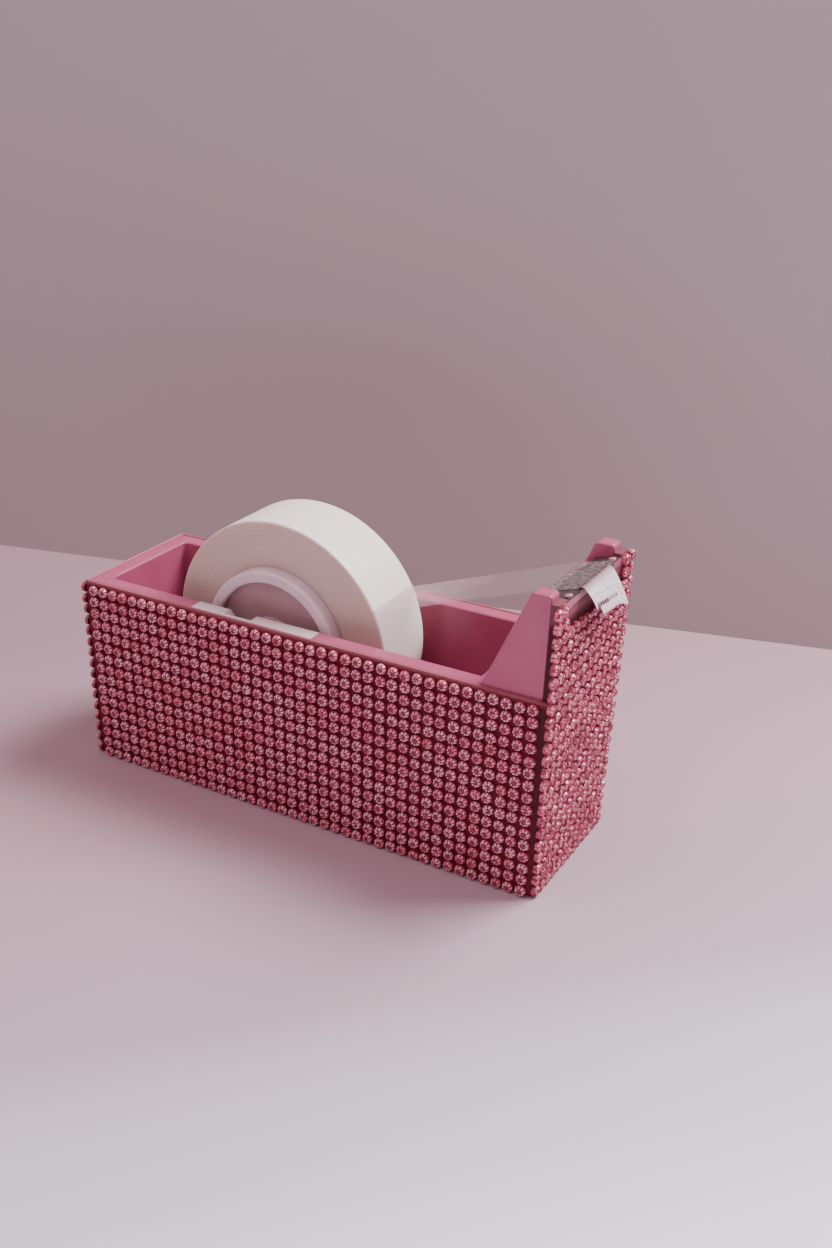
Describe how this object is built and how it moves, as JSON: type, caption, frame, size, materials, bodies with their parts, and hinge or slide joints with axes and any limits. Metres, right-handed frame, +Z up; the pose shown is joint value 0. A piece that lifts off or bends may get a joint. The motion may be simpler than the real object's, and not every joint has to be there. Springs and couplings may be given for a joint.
{
  "type": "tape dispenser",
  "caption": "Desk tape dispenser: open weighted tray with stone-covered walls, drop-in roll on a hub and axle, and a toothed cutter between two horns.",
  "frame": {"origin": "middle of the bottom of the object's box, on the surface that it stands on", "axes": "+X along the tray towards the cutter, +Y across the tape, +Z up"},
  "size_m": [0.142, 0.0428, 0.0773],
  "materials": {
    "shell_plastic": "glossy pink moulded plastic",
    "cover_plastic": "matte pink moulded plastic",
    "ballast_steel": "plain mill finish",
    "screw_steel": "zinc plated",
    "foot_rubber": "matte black",
    "insert_plastic": "white, slightly translucent",
    "axle_plastic": "white, satin",
    "hub_plastic": "white, satin",
    "cap_plastic": "mauve-grey, satin",
    "core_plastic": "white, satin",
    "tape_film": "frosted wound tape",
    "free_tape": "frosted, see-through",
    "blade_steel": "thin bare steel",
    "pin_steel": "bare steel",
    "panel_film": "brownish wine-coloured backing film",
    "stones": "faceted pink rhinestones"
  },
  "bodies": {
    "base": {"body_shell": "shell_plastic", "base_cover": "cover_plastic", "base_ballast": "ballast_steel", "post_ballast": "ballast_steel", "cover_screws": "screw_steel", "rubber_feet": "foot_rubber", "bearing_insert_near": "insert_plastic", "bearing_insert_far": "insert_plastic", "cutter_blade": "blade_steel", "blade_pins": "pin_steel", "tape_tail": "free_tape", "near_panel_film": "panel_film", "far_panel_film": "panel_film", "front_panel_film": "panel_film", "rear_panel_film": "panel_film", "near_stones": "stones", "far_stones": "stones", "front_stones": "stones", "rear_stones": "stones"},
    "axle": {"axle_pin": "axle_plastic", "tape_strip": "free_tape"},
    "roll": {"hub_half_near": "hub_plastic", "hub_half_far": "hub_plastic", "hub_cap_near": "cap_plastic", "hub_cap_far": "cap_plastic", "tape_core": "core_plastic", "tape_roll": "tape_film"}
  },
  "joints": [
    {"name": "hub_lift", "type": "slide", "parent": "base", "child": "axle", "axis": [-0.6259, 0, 0.7799], "range_m": [0, 0.06]},
    {"name": "roll_spin", "type": "hinge", "parent": "axle", "child": "roll", "pos_m": [-0.015, 0, 0.044], "axis": [0, 1, 0], "continuous": true}
  ]
}
